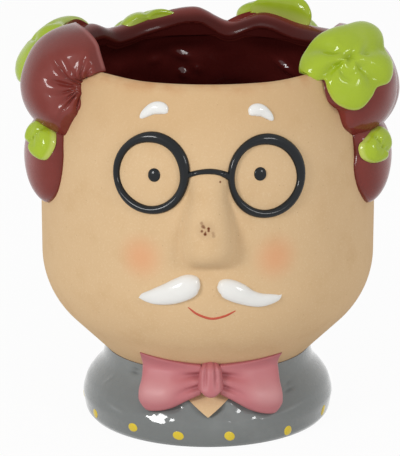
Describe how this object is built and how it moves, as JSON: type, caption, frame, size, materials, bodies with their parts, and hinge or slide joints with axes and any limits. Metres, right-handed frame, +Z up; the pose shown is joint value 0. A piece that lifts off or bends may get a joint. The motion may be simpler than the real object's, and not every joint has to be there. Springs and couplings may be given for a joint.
{
  "type": "head planter",
  "caption": "Ceramic planter shaped as a doll-like head with spectacles, moustache and bow tie, open at the top for a plant, with a drain hole and stopper.",
  "frame": {"origin": "centre of the foot, on the plane the pot stands on", "axes": "+Z up; the face looks towards -Y; +X is on the right of a person facing it"},
  "size_m": [0.154, 0.1502, 0.1627],
  "materials": {
    "bisque": "unglazed, fine grain, matte",
    "grey_glaze": "gloss glaze",
    "maroon_glaze": "gloss glaze, thinner on high spots",
    "green_glaze": "gloss glaze",
    "white_glaze": "gloss glaze",
    "black_glaze": "satin glaze",
    "pink_glaze": "satin glaze",
    "stopper": "soft matte rubber"
  },
  "bodies": {
    "pot": {"bow_tie_knot": "pink_glaze", "bow_tie_left": "pink_glaze", "bow_tie_right": "pink_glaze", "bust": "grey_glaze", "eyebrow_left": "white_glaze", "eyebrow_right": "white_glaze", "hair_cap": "maroon_glaze", "hair_lock_back_left": "maroon_glaze", "hair_lock_back_right": "maroon_glaze", "hair_lock_left_front": "maroon_glaze", "hair_lock_left_side": "maroon_glaze", "hair_lock_nape": "maroon_glaze", "hair_lock_right_front": "maroon_glaze", "hair_lock_right_side": "maroon_glaze", "hair_tuft_back_left": "maroon_glaze", "hair_tuft_back_right": "maroon_glaze", "hair_tuft_left_front": "maroon_glaze", "hair_tuft_left_side": "maroon_glaze", "hair_tuft_right_front": "maroon_glaze", "hair_tuft_right_side": "maroon_glaze", "head_shell": "bisque", "leaf_back_left": "green_glaze", "leaf_back_right": "green_glaze", "leaf_left_low": "green_glaze", "leaf_left_side": "green_glaze", "leaf_nape_left": "green_glaze", "leaf_nape_right": "green_glaze", "leaf_right_front": "green_glaze", "leaf_right_low": "green_glaze", "moustache_left": "white_glaze", "moustache_right": "white_glaze", "neck_v": "bisque", "nose": "bisque", "pupil_left": "black_glaze", "pupil_right": "black_glaze", "spectacle_bridge": "black_glaze", "spectacle_rim_left": "black_glaze", "spectacle_rim_right": "black_glaze"},
    "stopper": {"drain_plug": "stopper"}
  },
  "joints": [
    {"name": "stopper_pull", "type": "slide", "parent": "pot", "child": "stopper", "axis": [0, 0, -1], "range_m": [0, 0.012]}
  ]
}
